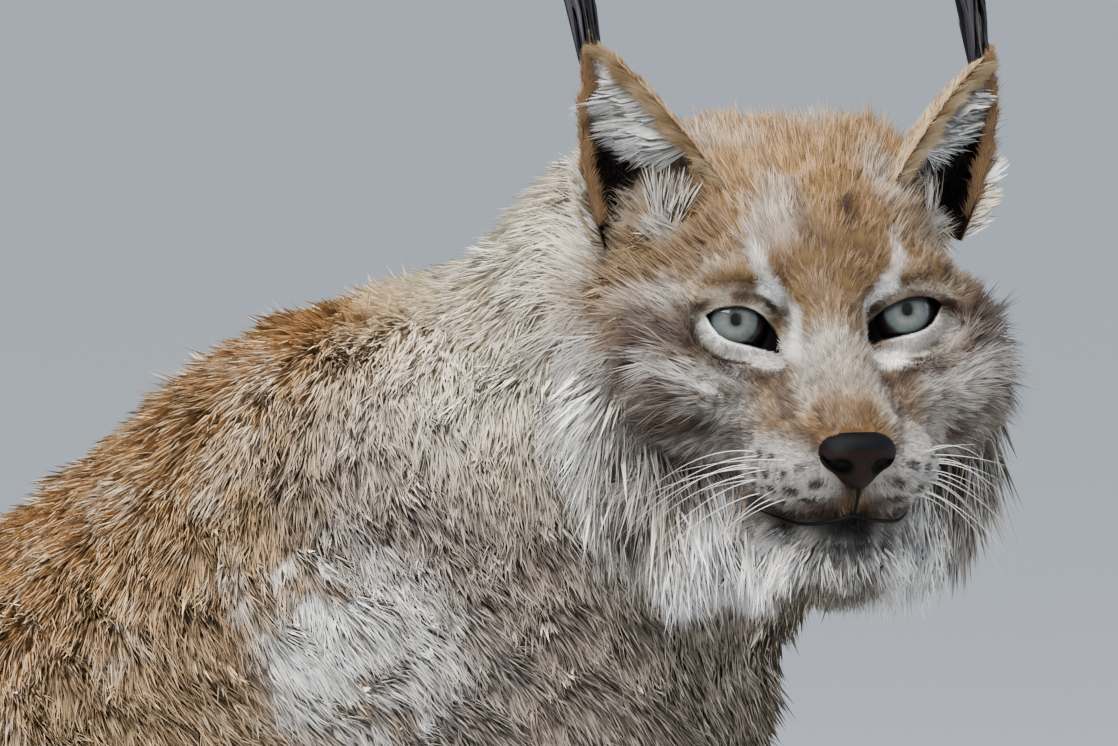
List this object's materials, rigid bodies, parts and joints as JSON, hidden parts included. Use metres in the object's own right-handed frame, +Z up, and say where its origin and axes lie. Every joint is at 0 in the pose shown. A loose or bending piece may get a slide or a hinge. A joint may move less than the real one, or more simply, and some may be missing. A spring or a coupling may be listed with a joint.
{
  "type": "eurasian lynx",
  "caption": "Life-size sitting lynx, head turned to its right, with cheek ruff, black ear tufts, broad paws and a short black-tipped tail, resting on flat soles.",
  "frame": {"origin": "middle of the base of the bounding box, on the floor that the soles rest on", "axes": "+Z up; the body faces -Y and its left side is +X; the head is turned about 64 degrees towards -X"},
  "size_m": [0.3358, 0.721, 0.7757],
  "materials": {
    "flank_coat": "dense winter coat of fine hair, rufous brown on the back, mottled brown and white on the flank",
    "neck_coat": "longer soft coat, grey-brown flecked with white",
    "head_coat": "short dense hair, tan forehead with dark streaks, white round the eyes, muzzle and beard",
    "ear_coat": "short hair, tan rim, grey-brown back, long white hair inside and a black tuft at the tip",
    "paw_coat": "short dense hair, pale tan with brown spots",
    "tail_coat": "dense coat, rufous brown",
    "tail_tip_coat": "dense coat, black",
    "eye": "wet and glossy, pale grey-green iris with a small round black pupil",
    "nose_leather": "bare pebbled skin, dark pinkish brown with a black upper edge"
  },
  "bodies": {
    "root": {"head": "head_coat", "nose": "nose_leather", "eye_left": "eye", "eye_right": "eye", "ear_left": "ear_coat", "ear_right": "ear_coat", "neck": "neck_coat", "chest": "flank_coat", "loin": "flank_coat", "foreleg_left": "neck_coat", "foreleg_right": "neck_coat", "forepaw_left": "paw_coat", "forepaw_right": "paw_coat", "hind_leg_left": "flank_coat", "hind_leg_right": "flank_coat", "hind_foot_left": "paw_coat", "hind_foot_right": "paw_coat", "tail": "tail_coat", "tail_tip": "tail_tip_coat"}
  },
  "joints": []
}
